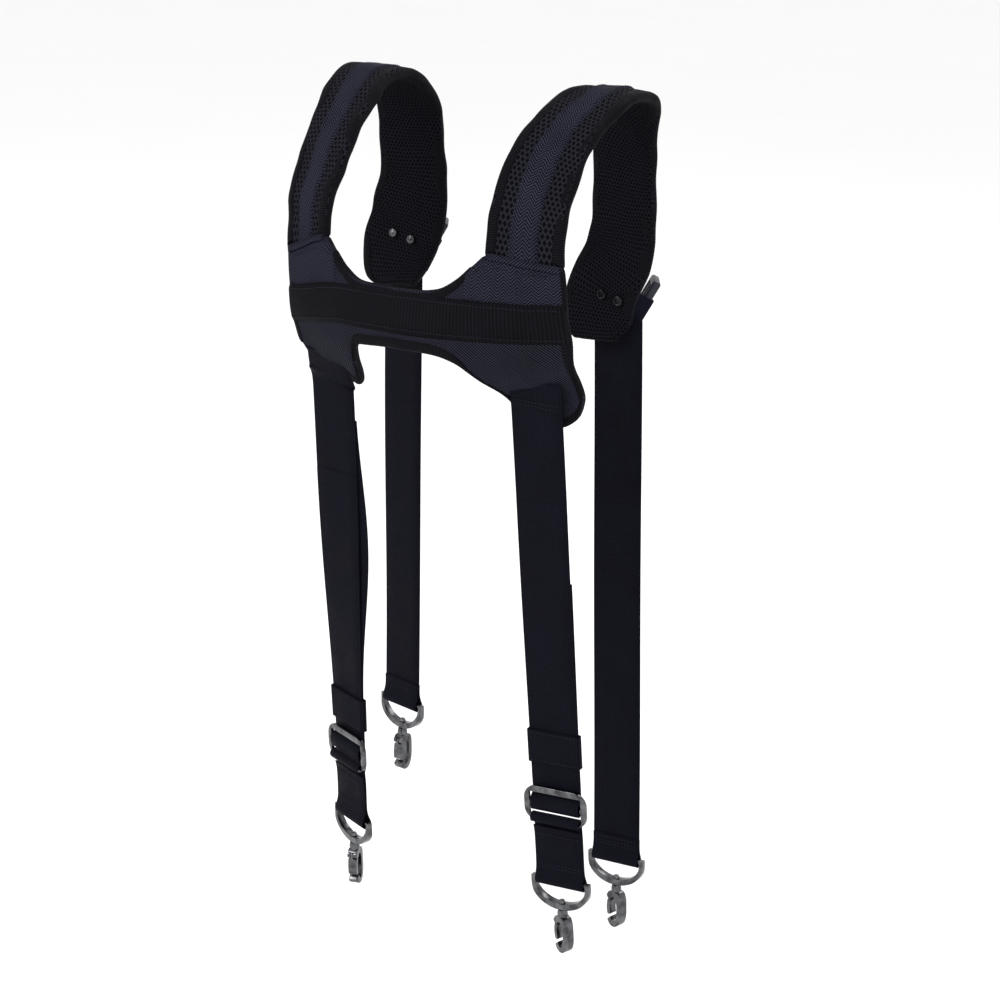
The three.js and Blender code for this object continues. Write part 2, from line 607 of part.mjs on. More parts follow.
/** The tab folds round the buckle's near bar, and its tongue runs back over the pad. */
const tabGeometry = () => {
  const [, h, t] = BUCKLE_SIZE;
  const [middle, halfY, halfZ] = [h / 2 - 2.2, t / 2 + GAP, 2.2 + GAP];
  const [low, high, side] = [middle - halfZ - WEB_THICK, middle + halfZ + WEB_THICK, halfY + WEB_THICK];
  const tongue = [[side, high - 2 * WEB_THICK], [TAB_TONGUE, high - 2 * WEB_THICK], [TAB_TONGUE, high]];
  return acrossWidth([[-side, low], [side, low], ...tongue, [-side, high]], WEB_WIDTH,
    [rectangle(2 * halfY, 2 * halfZ, 0, middle)]);
};

const makeBuckle = (side) => {
  const { at, roll, yaw } = BUCKLES[side];
  const group = new THREE.Group();
  group.position.set(...at);
  group.rotation.set(Math.PI / 2, rad(roll), rad(yaw), 'ZYX');
  group.add(mesh(`buckle_${side}`, buckleGeometry(), PLASTIC));
  group.add(mesh(`buckle_tab_${side}`, tabGeometry(), WEBBING));
  return group;
};

// ---------------------------------------------------------------- assembly

const harness = new THREE.Group();
harness.add(makeYoke());
for (const [side, stations] of [['right', PAD_RIGHT], ['left', PAD_LEFT]]) {
  harness.add(makePad(side, stations));
  harness.add(makeRivets(side, stations));
  harness.add(makeAnchor(side));
  harness.add(makeBackStrap(side));
  harness.add(makeChestStrap(side));
  harness.add(makeBuckle(side));
}

export default harness;
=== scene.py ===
"""Looks for the tool-belt suspenders: puffed pads and back panel, bound edges, woven webbing,
stitching and plated hardware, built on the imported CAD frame."""

import math

import bmesh
import bpy
import numpy as np
from mathutils import Matrix, Vector, noise


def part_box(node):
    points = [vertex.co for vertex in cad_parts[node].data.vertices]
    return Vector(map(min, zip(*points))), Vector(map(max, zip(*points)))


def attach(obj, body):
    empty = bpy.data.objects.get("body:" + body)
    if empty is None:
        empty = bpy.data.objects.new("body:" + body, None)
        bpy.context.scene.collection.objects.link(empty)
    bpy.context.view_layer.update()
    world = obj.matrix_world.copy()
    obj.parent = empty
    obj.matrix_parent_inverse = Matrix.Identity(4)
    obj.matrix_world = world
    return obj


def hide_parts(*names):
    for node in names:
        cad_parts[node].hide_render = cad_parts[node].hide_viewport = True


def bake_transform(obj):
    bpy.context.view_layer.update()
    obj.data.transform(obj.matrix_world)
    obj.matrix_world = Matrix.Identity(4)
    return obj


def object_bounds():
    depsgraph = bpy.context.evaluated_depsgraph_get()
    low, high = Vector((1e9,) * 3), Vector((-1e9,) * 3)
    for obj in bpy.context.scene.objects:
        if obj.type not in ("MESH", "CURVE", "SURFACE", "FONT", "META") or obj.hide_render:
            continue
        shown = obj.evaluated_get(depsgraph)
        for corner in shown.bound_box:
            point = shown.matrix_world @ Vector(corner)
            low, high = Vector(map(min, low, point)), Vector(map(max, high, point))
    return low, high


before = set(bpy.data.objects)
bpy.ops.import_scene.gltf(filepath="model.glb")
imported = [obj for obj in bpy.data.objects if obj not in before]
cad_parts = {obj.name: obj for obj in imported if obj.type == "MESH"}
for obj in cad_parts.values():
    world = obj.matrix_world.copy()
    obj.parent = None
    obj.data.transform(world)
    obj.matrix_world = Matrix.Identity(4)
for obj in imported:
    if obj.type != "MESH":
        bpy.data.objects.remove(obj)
CAD_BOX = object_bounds()
MM = 0.001  # the tables below are in millimetres, as the part's own dimensions are
X, Y, Z = Vector((1, 0, 0)), Vector((0, 1, 0)), Vector((0, 0, 1))

# ---------------------------------------------------------------- dimensions

WEB_WIDTH, WEB_THICK = 50, 1.5

# Back panel: half outlines as (x, z), and the depth of its middle surface on a grid.
YOKE_HALF = 149
YOKE_TOP = [(0, -170), (40, -168), (58, -157), (72, -143), (82, -134), (116, -137), (149, -141)]
YOKE_LOW = {
    "right": [
        (0, -221), (36, -223), (54, -228), (64, -236), (76, -254), (86, -274), (98, -283),
        (118, -288), (132, -286), (141, -280), (146, -272), (149, -258),
    ],
    "left": [
        (0, -221), (32, -223), (42, -226), (46, -236), (49, -256), (54, -267), (62, -270), (72, -269),
        (84, -268), (107, -262), (124, -252), (138, -238), (149, -221),
    ],
}
BAND_Z = (-208, -173)
GRID_X = [0, 50, 85, 115, 150]
GRID_Z = [-130, -170, -205, -235, -265, -290]
GRID_Y = [
    [-127, -125, -119, -114, -106],
    [-133, -130, -124, -116, -101],
    [-139, -134, -124, -112, -91],
    [-136, -130, -114, -99, -84],
    [-125, -112, -88, -84, -80],
    [-118, -104, -85, -82, -79],
]
WING_FLARE, LEFT_DROOP, LEFT_TUCK = 7, 14, 0.15

# Pads: (x, y, z, yaw in degrees, width) from the back panel over the shoulder to the chest.
PADS = {
    "right": [
        (113, -112, -132, 13, 66), (115, -106, -100, 17, 66), (117, -80, -57, 15, 65),
        (122, -47, -29, 10, 63), (129, -6, -12, 6, 63), (126, 36, -19, 0, 63), (111, 66, -50, -8, 65),
        (105, 77, -88, -10, 67), (104, 80, -128, -10, 69), (101, 77, -168, -8, 73),
        (87, 71, -204, -4, 71), (85, 67, -230, 0, 66), (86, 63, -247, 0, 54),
    ],
    "left": [
        (-105, -112, -139, -20, 62), (-107, -106, -110, -23, 62), (-108, -80, -70, -20, 62),
        (-110, -48, -35, -12, 61), (-114, -6, -12, -4, 61), (-115, 36, -18, 0, 61), (-118, 66, -48, 8, 62),
        (-121, 77, -88, 10, 64), (-122, 80, -124, 10, 67), (-127, 77, -158, 8, 75),
        (-133, 71, -188, 4, 76), (-134, 67, -208, 0, 69), (-132, 63, -223, 0, 50),
    ],
}
STRIP_HALF = 13  # half width of the twill strip along a pad's middle
STRIP_END = 0.9  # how far along the pad it runs

# Straps: seam at the top, D-ring bar at the bottom, yaw at each; then the adjusters.
STRAPS = {
    "back_right": ((116, -91, -286), (133, -74, -722), (3, 1)),
    "back_left": ((-98, -91, -292), (-96, -76, -710), (-8, -24)),
    "chest_right": ((102, 76, -248), (116, 62, -758), (0, 0)),
    "chest_left": ((-133, 77, -234), (-130, 62, -648), (-12, -16)),
}
SLIDER_AT = {"right": 77, "left": 72}
SLIDER_HALF_TALL, SLIDER_RIM = 17.5, 3.4
KEEPER_AT = {"right": 133, "left": 112}
TAIL_TOP = {"right": 300, "left": 412}
TAIL_SPLAY = {"right": 0, "left": 9}  # the free tail bows sideways from its strap
KEEPER_TALL = 32
SEAM_Z = {"right": -252, "left": -248}  # where a back strap comes out from under the wing's cloth
CHEST_HEAD = 20  # a chest strap's head runs up behind its pad by this much
BUCKLE_TURN = (math.radians(-60), math.radians(31))  # roll and yaw of both buckles
SIDES = ("right", "left")

# ---------------------------------------------------------------- curves and surfaces


def smooth(a, b, v):
    k = min(1.0, max(0.0, (v - a) / (b - a)))
    return k * k * (3 - 2 * k)


def spline(at, values, t):
    """Catmull-Rom value at t of numbers placed at rising positions."""
    i = 0
    while i < len(at) - 2 and t > at[i + 1]:
        i += 1
    k = min(1.0, max(0.0, (t - at[i]) / (at[i + 1] - at[i])))

    def slope(j):
        a, b = max(0, j - 1), min(len(at) - 1, j + 1)
        return (values[b] - values[a]) / (at[b] - at[a]) * (at[i + 1] - at[i])

    p, q, m, n = values[i], values[i + 1], slope(i), slope(i + 1)
    return p + k * (m + k * (3 * (q - p) - 2 * m - n + k * (2 * (p - q) + m + n)))


def through(points, t):
    """Centripetal Catmull-Rom curve through points, at t from 0 to 1."""
    p = [Vector(v) for v in points]
    p = [p[0] * 2 - p[1], *p, p[-1] * 2 - p[-2]]
    f = t * (len(points) - 1)
    i = min(int(f), len(points) - 2)
    k = f - i
    a, b, c, d = p[i : i + 4]
    u, v, w = ((y - x).length ** 0.5 for x, y in ((a, b), (b, c), (c, d)))
    m = ((b - a) / u - (c - a) / (u + v) + (c - b) / v) * v
    n = ((c - b) / v - (d - b) / (v + w) + (d - c) / w) * v
    return b + k * (m + k * (3 * (c - b) - 2 * m - n + k * (2 * (b - c) + m + n)))


def edge(outline, x):
    return spline([p[0] for p in outline], [p[1] for p in outline], abs(x))


def yoke_low(x):
    return edge(YOKE_LOW["right" if x > 0 else "left"], x)


def yoke_top(x):
    return edge(YOKE_TOP, x)


def yoke_depth(x, z):
    rows = [spline(GRID_X, row, abs(x)) for row in GRID_Y]
    return spline([-v for v in GRID_Z], rows, -z)


def yoke_point(x, z, offset):
    flare = WING_FLARE / YOKE_HALF * (1 - smooth(-265, -225, z))
    x = x * (1 + (-LEFT_TUCK * smooth(60, YOKE_HALF, -x) if x < 0 else flare))

    def at(a, b):
        droop = LEFT_DROOP * smooth(50, YOKE_HALF, -a) if a < 0 else 0
        return Vector((a, yoke_depth(a, b), b - droop))

    normal = (at(x + 1, z) - at(x - 1, z)).cross(at(x, z + 1) - at(x, z - 1)).normalized()
    return at(x, z) + normal * offset


def pad_point(stations, t, side, offset):
    steps = [i / (len(stations) - 1) for i in range(len(stations))]
    middle = [s[:3] for s in stations]
    yaw = math.radians(spline(steps, [s[3] for s in stations], t))
    width = spline(steps, [s[4] for s in stations], t)
    along = through(middle, min(1, t + 1e-3)) - through(middle, max(0, t - 1e-3))
    along.normalize()
    across = Vector((math.cos(yaw), math.sin(yaw), 0))
    across = (across - along * across.dot(along)).normalized()
    return through(middle, t) + across * side * width + across.cross(along) * offset


def strap_space(key):
    """Local frame of a strap: x across it, z up it, the origin on its D-ring's bar."""
    top, bar, yaw = STRAPS[key]
    up = (Vector(top) - Vector(bar)).normalized()
    turn = math.radians(yaw[1])
    across = Vector((math.cos(turn), math.sin(turn), 0))
    across = (across - up * across.dot(up)).normalized()
    m = Matrix((across, up.cross(across), up)).transposed().to_4x4()
    m.translation = bar
    return m, (Vector(top) - Vector(bar)).length


def wobble(p, size, amount):
    """A small smooth displacement, the same at every run."""
    return noise.noise_vector(Vector(p) / size) * amount


# ---------------------------------------------------------------- materials


class Graph:
    """Short-hand for building a material's nodes."""

    def __init__(self, name):
        self.material = bpy.data.materials.new(name)
        self.material.use_nodes = True
        self.tree = self.material.node_tree
        self.shader = self.tree.nodes["Principled BSDF"]

    def node(self, kind, **sockets):
        n = self.tree.nodes.new(kind)
        for key, value in sockets.items():
            self.put(n, key.replace("_", " "), value)
        return n

    def put(self, n, key, value):
        key = int(key[1:]) if key[0] == "i" and key[1:].isdigit() else key
        if isinstance(value, bpy.types.NodeSocket):
            self.tree.links.new(value, n.inputs[key])
        else:
            n.inputs[key].default_value = value

    def math(self, operation, a, b=0.0, c=0.0):
        n = self.node("ShaderNodeMath", i0=a, i1=b, i2=c)
        n.operation = operation
        return n.outputs[0]

    def noise(self, scale, detail=3.0, vector=None):
        n = self.node("ShaderNodeTexNoise", Scale=scale, Detail=detail)
        self.tree.links.new(vector or self.object_place(), n.inputs["Vector"])
        return n.outputs["Fac"]

    def object_place(self):
        return self.node("ShaderNodeTexCoord").outputs["Object"]

    def uv(self):
        split = self.node("ShaderNodeSeparateXYZ", Vector=self.node("ShaderNodeTexCoord").outputs["UV"])
        return split.outputs[0], split.outputs[1]

    def wave(self, place, pitch):
        """A ridge profile from 0 to 1 that repeats every pitch metres."""
        turn = self.math("MULTIPLY", place, 2 * math.pi / pitch)
        return self.math("MULTIPLY_ADD", self.math("SINE", turn), 0.5, 0.5)

    def ramp(self, value, low, high, dark, bright):
        n = self.node("ShaderNodeMapRange", Value=value)
        for i, v in enumerate((low, high, dark, bright)):
            n.inputs[i + 1].default_value = v
        return n.outputs[0]

    def colour(self, value, dark, bright):
        n = self.node("ShaderNodeMix")
        n.data_type = "RGBA"
        self.tree.links.new(value, n.inputs[0])
        n.inputs[6].default_value = (*dark, 1)
        n.inputs[7].default_value = (*bright, 1)
        return n.outputs[2]

    def finish(self, colour, height, depth, rough=(0.6, 0.8), grain=None, **shader):
        self.put(self.shader, "Base Color", colour)
        self.put(self.shader, "Roughness", self.ramp(grain or self.noise(900.0), 0.3, 0.7, *rough))
        bump = self.node("ShaderNodeBump", Height=height, Distance=depth, Strength=1.0)
        self.put(self.shader, "Normal", bump.outputs[0])
        for key, value in shader.items():
            self.put(self.shader, key.replace("_", " "), value)
        return self.material


def mix_of(g, a, b, share):
    return g.math("ADD", g.math("MULTIPLY", a, 1 - share), g.math("MULTIPLY", b, share))


def webbing_material(name, dark, bright, rib=0.0017, cord=0.0022, depth=0.0005):
    """Tight webbing: weft ribs across it, and warp cords that step over them, with painted highlights on
    the ribs and painted shade between them.
    """
    g = Graph(name)
    u, v = g.uv()
    warp = g.wave(u, cord)
    weft = g.wave(g.math("ADD", v, g.math("MULTIPLY", warp, rib / 2)), rib)
    weave = mix_of(g, weft, warp, 0.4)
    wear = g.noise(38.0, 4.0)
    # painted light: the weave's ridges are coloured lighter as a painted highlight and its grooves darker
    # as painted shade, mixed with random wear
    painted_weave_light_and_wear = mix_of(g, weave, wear, 0.4)
    colour = g.colour(g.ramp(painted_weave_light_and_wear, 0.3, 0.75, 0, 1), dark, bright)
    return g.finish(colour, weave, depth, (0.5, 0.72), wear, Specular_IOR_Level=0.03)


def twill_material(name, dark, bright, pitch=0.0028, zigzag=0.0056):
    """Coarse herringbone: short diagonal ridges that turn back every few ends, over cross threads, with
    painted highlights on the ridges and painted shade between them.
    """
    g = Graph(name)
    u, v = g.uv()
    saw = g.math("PINGPONG", u, zigzag)
    ridge = g.wave(g.math("ADD", v, saw), pitch)
    left = g.wave(g.math("SUBTRACT", v, u), pitch / 1.4)
    right = g.wave(g.math("ADD", v, u), pitch / 1.4)
    threads = g.math("MULTIPLY", left, right)
    weave = mix_of(g, ridge, threads, 0.5)
    wear = g.noise(30.0, 4.0)
    # painted light: the ridges and crossing threads are coloured lighter as a painted highlight and the
    # grooves darker as painted shade, mixed with random wear
    colour = g.colour(g.ramp(mix_of(g, weave, wear, 0.22), 0.3, 0.68, 0, 1), dark, bright)
    return g.finish(colour, weave, 0.0006, (0.62, 0.85), wear, Specular_IOR_Level=0.03)


def mesh_material(name, dark, bright, pitch=0.0044, hole=0.4):
    """Air mesh: rows of open holes in a knitted face, the holes coloured dark as painted shade and the knit
    ridges lighter as a painted highlight.
    """
    g = Graph(name)
    u, v = g.uv()
    row = g.math("FLOOR", g.math("DIVIDE", v, pitch))
    shift = g.math("MULTIPLY", g.math("FLOORED_MODULO", row, 2.0), 0.5)
    a = g.math("SUBTRACT", g.math("FRACT", g.math("ADD", g.math("DIVIDE", u, pitch), shift)), 0.5)
    b = g.math("SUBTRACT", g.math("FRACT", g.math("DIVIDE", v, pitch)), 0.5)
    reach = g.math("ADD", g.math("ABSOLUTE", a), g.math("MULTIPLY", g.math("ABSOLUTE", b), 0.8))
    face = g.ramp(reach, hole - 0.1, hole + 0.1, 0, 1)
    knit = mix_of(g, face, g.wave(g.math("ADD", u, v), pitch / 3.2), 0.2)
    # painted light: the openings are painted dark as the shade inside the holes, and the knit ridges
    # lighter as a painted highlight
    colour = g.colour(knit, dark, bright)
    return g.finish(colour, knit, 0.0009, (0.65, 0.9), None, Specular_IOR_Level=0.02)


def tape_material(name, dark, bright):
    """Grosgrain binding: fine ribs straight across the tape, with painted highlights on the ribs and
    painted shade between them.
    """
    g = Graph(name)
    u, v = g.uv()
    rib = g.wave(v, 0.0021)
    wear = g.noise(60.0, 3.0)
    # painted light: each rib is coloured lighter as a painted highlight and the gap between ribs darker as
    # painted shade, mixed with random wear
    colour = g.colour(mix_of(g, rib, wear, 0.35), dark, bright)
    return g.finish(colour, rib, 0.0007, (0.5, 0.75), wear, Specular_IOR_Level=0.03)


def thread_material(name, base):
    g = Graph(name)
    twist = g.noise(2500.0, 1.0)
    colour = g.colour(twist, [c * 0.5 for c in base], base)
    return g.finish(colour, twist, 0.0002, (0.5, 0.7), None, Specular_IOR_Level=0.1)


def metal_material(name, dark, bright, rough, **shader):
    """Plated die-casting with faint tumbling marks and duller hollows."""
    g = Graph(name)
    cloud, marks = g.noise(120.0, 5.0), g.noise(900.0, 2.0)
    colour = g.colour(g.ramp(cloud, 0.35, 0.65, 0, 1), dark, bright)
    return g.finish(colour, marks, 0.00006, rough, cloud, Metallic=1.0, **shader)


def plastic_material(name, dark, bright):
    g = Graph(name)
    grain = g.noise(1600.0, 2.0)
    colour = g.colour(g.noise(40.0), dark, bright)
    return g.finish(colour, grain, 0.00008, (0.32, 0.5), None, Specular_IOR_Level=0.2)


# The fabrics' dark and bright colours are the painted shade in their grooves and holes and the painted
# highlight on their ridges.
WEBBING = webbing_material("webbing", (0.0012, 0.0012, 0.0022), (0.0075, 0.0075, 0.0145))
BAND = webbing_material(
    "band_grosgrain", (0.0014, 0.0014, 0.002), (0.0075, 0.0075, 0.0100), 0.0013, 0.0031, 0.0003
)
TWILL = twill_material("twill", (0.0012, 0.0012, 0.0022), (0.040, 0.040, 0.066))
PANEL = twill_material("panel_twill", (0.0012, 0.0012, 0.002), (0.034, 0.034, 0.054), 0.0028, 0.4)
AIR_MESH = mesh_material("air_mesh", (0.0006, 0.0006, 0.0009), (0.016, 0.016, 0.022))
LINING = mesh_material("lining_mesh", (0.0008, 0.0008, 0.0011), (0.0085, 0.0085, 0.012), 0.0034, 0.36)
TAPE = tape_material("binding_tape", (0.0011, 0.0011, 0.0016), (0.009, 0.009, 0.012))
THREAD = thread_material("thread", (0.018, 0.018, 0.028))
GUNMETAL = metal_material("dark_nickel", (0.045, 0.045, 0.048), (0.13, 0.132, 0.138), (0.16, 0.3))
STEEL = metal_material("steel", (0.08, 0.08, 0.085), (0.2, 0.2, 0.21), (0.2, 0.35))
BLACKED = metal_material("blacked_metal", (0.012, 0.012, 0.015), (0.04, 0.04, 0.045), (0.25, 0.4))
PLASTIC = plastic_material("buckle_plastic", (0.010, 0.010, 0.019), (0.022, 0.022, 0.038))

# ---------------------------------------------------------------- mesh builders


def piece(name, verts, faces, uvs, material, body, level=0, scale=MM):
    """A mesh object in metres that rides on a body. uvs are per vertex, in metres."""
    me = bpy.data.meshes.new(name)
    me.from_pydata([Vector(v) * scale for v in verts], [], faces)
    if uvs is not None:
        layer = me.uv_layers.new(name="cloth")
        for loop in me.loops:
            layer.data[loop.index].uv = uvs[loop.vertex_index]
    bm = bmesh.new()
    bm.from_mesh(me)
    bmesh.ops.recalc_face_normals(bm, faces=bm.faces)
    bm.to_mesh(me)
    bm.free()
    me.shade_smooth()
    me.materials.append(material)
    obj = bpy.data.objects.new(name, me)
    bpy.context.collection.objects.link(obj)
    if level:
        divide(obj, level)
    if body:
        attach(obj, body)
    return obj


def apply_modifiers(obj):
    dg = bpy.context.evaluated_depsgraph_get()
    done = bpy.data.meshes.new_from_object(obj.evaluated_get(dg))
    obj.modifiers.clear()
    obj.data = done
    return obj


def divide(obj, level=1):
    m = obj.modifiers.new("divide", "SUBSURF")
    m.levels = m.render_levels = level
    return apply_modifiers(obj)


class Slab:
    """A padded sheet: a front and a back grid of points, closed round its edge."""

    def __init__(self, cols, rows, point, place):
        self.cols, self.rows = cols, rows
        grid = [(i, j) for j in range(rows + 1) for i in range(cols + 1)]
        self.front = {ij: point(*ij, 1) for ij in grid}
        self.back = {ij: point(*ij, -1) for ij in grid}
        self.uv = {ij: place(*ij) for ij in grid}

    def rim(self):
        c, r = self.cols, self.rows
        ring = [(i, 0) for i in range(c)] + [(c, j) for j in range(r)]
        return ring + [(i, r) for i in range(c, 0, -1)] + [(0, j) for j in range(r, 0, -1)]

    def build(self, name, material, body=None, slot=None):
        grid = list(self.front)
        n = len(grid)
        at = {ij: k for k, ij in enumerate(grid)}
        verts = [self.front[g] for g in grid] + [self.back[g] for g in grid]
        faces = []
        for i, j in grid:
            if i < self.cols and j < self.rows:
                q = [at[i, j], at[i + 1, j], at[i + 1, j + 1], at[i, j + 1]]
                faces += [q, [k + n for k in reversed(q)]]
        ring = [at[g] for g in self.rim()]
        faces += [[a, a + n, b + n, b] for a, b in zip(ring, ring[1:] + ring[:1])]
        uvs = [self.uv[g] for g in grid] * 2
        return piece(name, verts, faces, uvs, material, body)

    def read(self, obj):
        """Takes the points back from a simulated copy."""
        grid = list(self.front)
        for k, g in enumerate(grid):
            self.front[g] = obj.data.vertices[k].co / MM
            self.back[g] = obj.data.vertices[k + len(grid)].co / MM

    def normal(self, i, j):
        a, b = max(0, i - 1), min(self.cols, i + 1)
        c, d = max(0, j - 1), min(self.rows, j + 1)
        n = (self.front[b, j] - self.front[a, j]).cross(self.front[i, d] - self.front[i, c])
        out = self.front[i, j] - self.back[i, j]
        return n.normalized() * (1 if n.dot(out) > 0 else -1)

    def raised(self, i, j, lift):
        """A point of a seam on the front, held off the cloth, with the cloth's normal."""
        return self.front[i, j] + self.normal(i, j) * lift, self.normal(i, j)

    def cover(self, name, cols, rows, lift, material, body, slot):
        """A thin layer sewn on the front over the given columns and rows, its edges turned down."""
        (c0, c1), (r0, r1) = cols, rows

        def point(i, j, side):
            a, b = c0 + i, r0 + j
            border = a in (c0, c1) or b in (r0, r1)
            rise = (0.2 if border else lift) if side > 0 else -0.5
            return self.front[a, b] + self.normal(a, b) * rise

        top = Slab(c1 - c0, r1 - r0, point, lambda i, j: self.uv[c0 + i, r0 + j])
        return top.build(name, material, body, slot)

    def bind(self, name, path, reach, half, body):
        """Binding tape folded round the edge that path follows."""
        section = [(-reach, half + 0.2), (1 - reach, half + 0.9), (-1.5, half + 0.8), (0.6, half * 0.55)]
        section += [(1.2, 0)] + [(a, -b) for a, b in reversed(section)]
        verts, uvs, faces, run, last = [], [], [], 0, None
        k = len(section)
        for i, j in path:
            a = 1 if i == 0 else self.cols - 1 if i == self.cols else i
            b = 1 if j == 0 else self.rows - 1 if j == self.rows else j
            middle = (self.front[i, j] + self.back[i, j]) / 2
            inner = (self.front[a, b] + self.back[a, b]) / 2
            up = (self.front[a, b] - self.back[a, b]).normalized()
            out = middle - inner
            out = (out - up * out.dot(up)).normalized()
            middle += out * (noise.noise(middle / 26) * 1.1)
            run += (middle - last).length if last else 0
            last = middle
            verts += [middle + out * s + up * t for s, t in section]
            uvs += [(n * 0.002, run * MM) for n in range(k)]
        for s in range(len(path) - 1):
            for n in range(k):
                a, b = s * k + n, s * k + (n + 1) % k
                faces.append([a, b, b + k, a + k])
        faces += [list(range(k)), list(range(len(verts) - 1, len(verts) - k - 1, -1))]
        return piece(name, verts, faces, uvs, TAPE, body, level=1)


def puff(slab, name, pinned, pressure, cap):
    """Inflates a slab with Blender's cloth between its pinned seams, and takes the result back."""
    obj = slab.build(name, WEBBING)
    rest = [v.co.copy() for v in obj.data.vertices]
    grid = list(slab.front)
    seams = obj.vertex_groups.new(name="seams")
    held = [k for k, g in enumerate(grid) if g in pinned]
    seams.add(held + [k + len(grid) for k in held], 1.0, "REPLACE")
    m = obj.modifiers.new("cloth", "CLOTH")
    m.settings.quality = 6
    m.settings.mass = 0.25
    m.settings.tension_stiffness = m.settings.compression_stiffness = 25
    m.settings.shear_stiffness = 10
    m.settings.bending_stiffness = 0.4
    m.settings.use_pressure = True
    m.settings.uniform_pressure_force = pressure
    m.settings.vertex_group_mass = "seams"
    m.settings.effector_weights.gravity = 0
    m.collision_settings.use_collision = False
    m.point_cache.frame_start, m.point_cache.frame_end = 1, 20
    for f in range(1, 21):
        bpy.context.scene.frame_set(f)
    apply_modifiers(obj)
    bpy.context.scene.frame_set(1)
    for v, home in zip(obj.data.vertices, rest):
        move = v.co - home
        if move.length > cap * MM:
            v.co = home + move * (cap * MM / move.length)
    slab.read(obj)
    bpy.data.objects.remove(obj)


def ribbon(name, path, width, thick, body, material=WEBBING, closed=False, start=0.0):
    """Webbing along path, a list of (centre, across, normal), its weave starting that far along."""
    h, t = width / 2, thick / 2
    section = [(-h, 0), (-h + 0.5, t), (-h / 2, t), (0, t), (h / 2, t), (h - 0.5, t), (h, 0)]
    section += [(a, -b) for a, b in section[-2:0:-1]]
    verts, uvs, faces, run, k = [], [], [], start, len(section)
    for n, (centre, across, normal) in enumerate(path):
        run += (centre - path[n - 1][0]).length if n else 0
        verts += [centre + across * a + normal * b for a, b in section]
        uvs += [((a + h) * MM, run * MM) for a, b in section]
    count = len(path)
    for s in range(count if closed else count - 1):
        for n in range(k):
            a, b = s * k + n, s * k + (n + 1) % k
            c, d = (s + 1) % count * k + (n + 1) % k, (s + 1) % count * k + n
            faces.append([a, b, c, d])
    if not closed:
        faces += [list(range(k)), list(range(len(verts) - 1, len(verts) - k - 1, -1))]
    obj = piece(name, verts, faces, uvs, material, body)
    obj.data.set_sharp_from_angle(angle=math.radians(70))
    return obj


def length_of(path):
    return sum((b[0] - a[0]).length for a, b in zip(path, path[1:]))


def stitches(name, runs, body, pitch=3.4, size=0.42):
    """Rows of thread stitches: each run is a list of (point, normal) along a seam."""
    verts, faces = [], []
    for run in runs:
        for (a, n), (b, _) in zip(run, run[1:]):
            steps = max(1, round((b - a).length / pitch))
            for s in range(steps):
                p, q = a.lerp(b, (s + 0.18) / steps), a.lerp(b, (s + 0.82) / steps)
                along = (q - p).normalized()
                side = along.cross(n).normalized()
                base = len(verts)
                verts += [p, q]
                for c in (p.lerp(q, 0.2), p.lerp(q, 0.8)):
                    verts += [c + side * size, c + n * size, c - side * size, c - n * size]
                for m in range(4):
                    e, f = base + 2 + m, base + 2 + (m + 1) % 4
                    faces += [[base, e, f], [e, e + 4, f + 4, f], [base + 1, f + 4, e + 4]]
    return piece(name, verts, faces, None, THREAD, body)


def lathe(name, profile, centre, axis, material, body, sides=32):
    """A turned piece: profile is (radius, height) along axis from centre."""
    turn = Vector(axis).to_track_quat("Z", "Y")
    verts, faces, k = [], [], len(profile)
    for s in range(sides):
        a = 2 * math.pi * s / sides
        verts += [centre + turn @ Vector((r * math.cos(a), r * math.sin(a), h)) for r, h in profile]
    for s in range(sides):
        for n in range(k - 1):
            a, b = s * k + n, (s + 1) % sides * k + n
            faces.append([a, b, b + 1, a + 1])
    return piece(name, verts, faces, None, material, body)


def refined(node, material, body, bevel, level=0):
    """A carried CAD casting with its edges rounded over."""
    name = f"fine_{node}"
    obj = bpy.data.objects.new(name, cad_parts[node].data.copy())
    bpy.context.collection.objects.link(obj)
    obj.data.transform(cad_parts[node].matrix_world)
    bm = bmesh.new()
    bm.from_mesh(obj.data)
    bmesh.ops.remove_doubles(bm, verts=bm.verts, dist=2e-5)
    bmesh.ops.dissolve_limit(bm, angle_limit=math.radians(4), verts=bm.verts, edges=bm.edges)
    bm.to_mesh(obj.data)
    bm.free()
    m = obj.modifiers.new("round", "BEVEL")
    m.width, m.segments, m.limit_method, m.angle_limit = bevel * MM, 3, "ANGLE", math.radians(35)
    m.harden_normals = False
    apply_modifiers(obj)
    obj.data.materials.clear()
    obj.data.materials.append(material)
    obj.data.shade_smooth()
    obj.data.set_sharp_from_angle(angle=math.radians(40))
    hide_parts(node)
    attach(obj, body)
    return obj


# ---------------------------------------------------------------- back panel


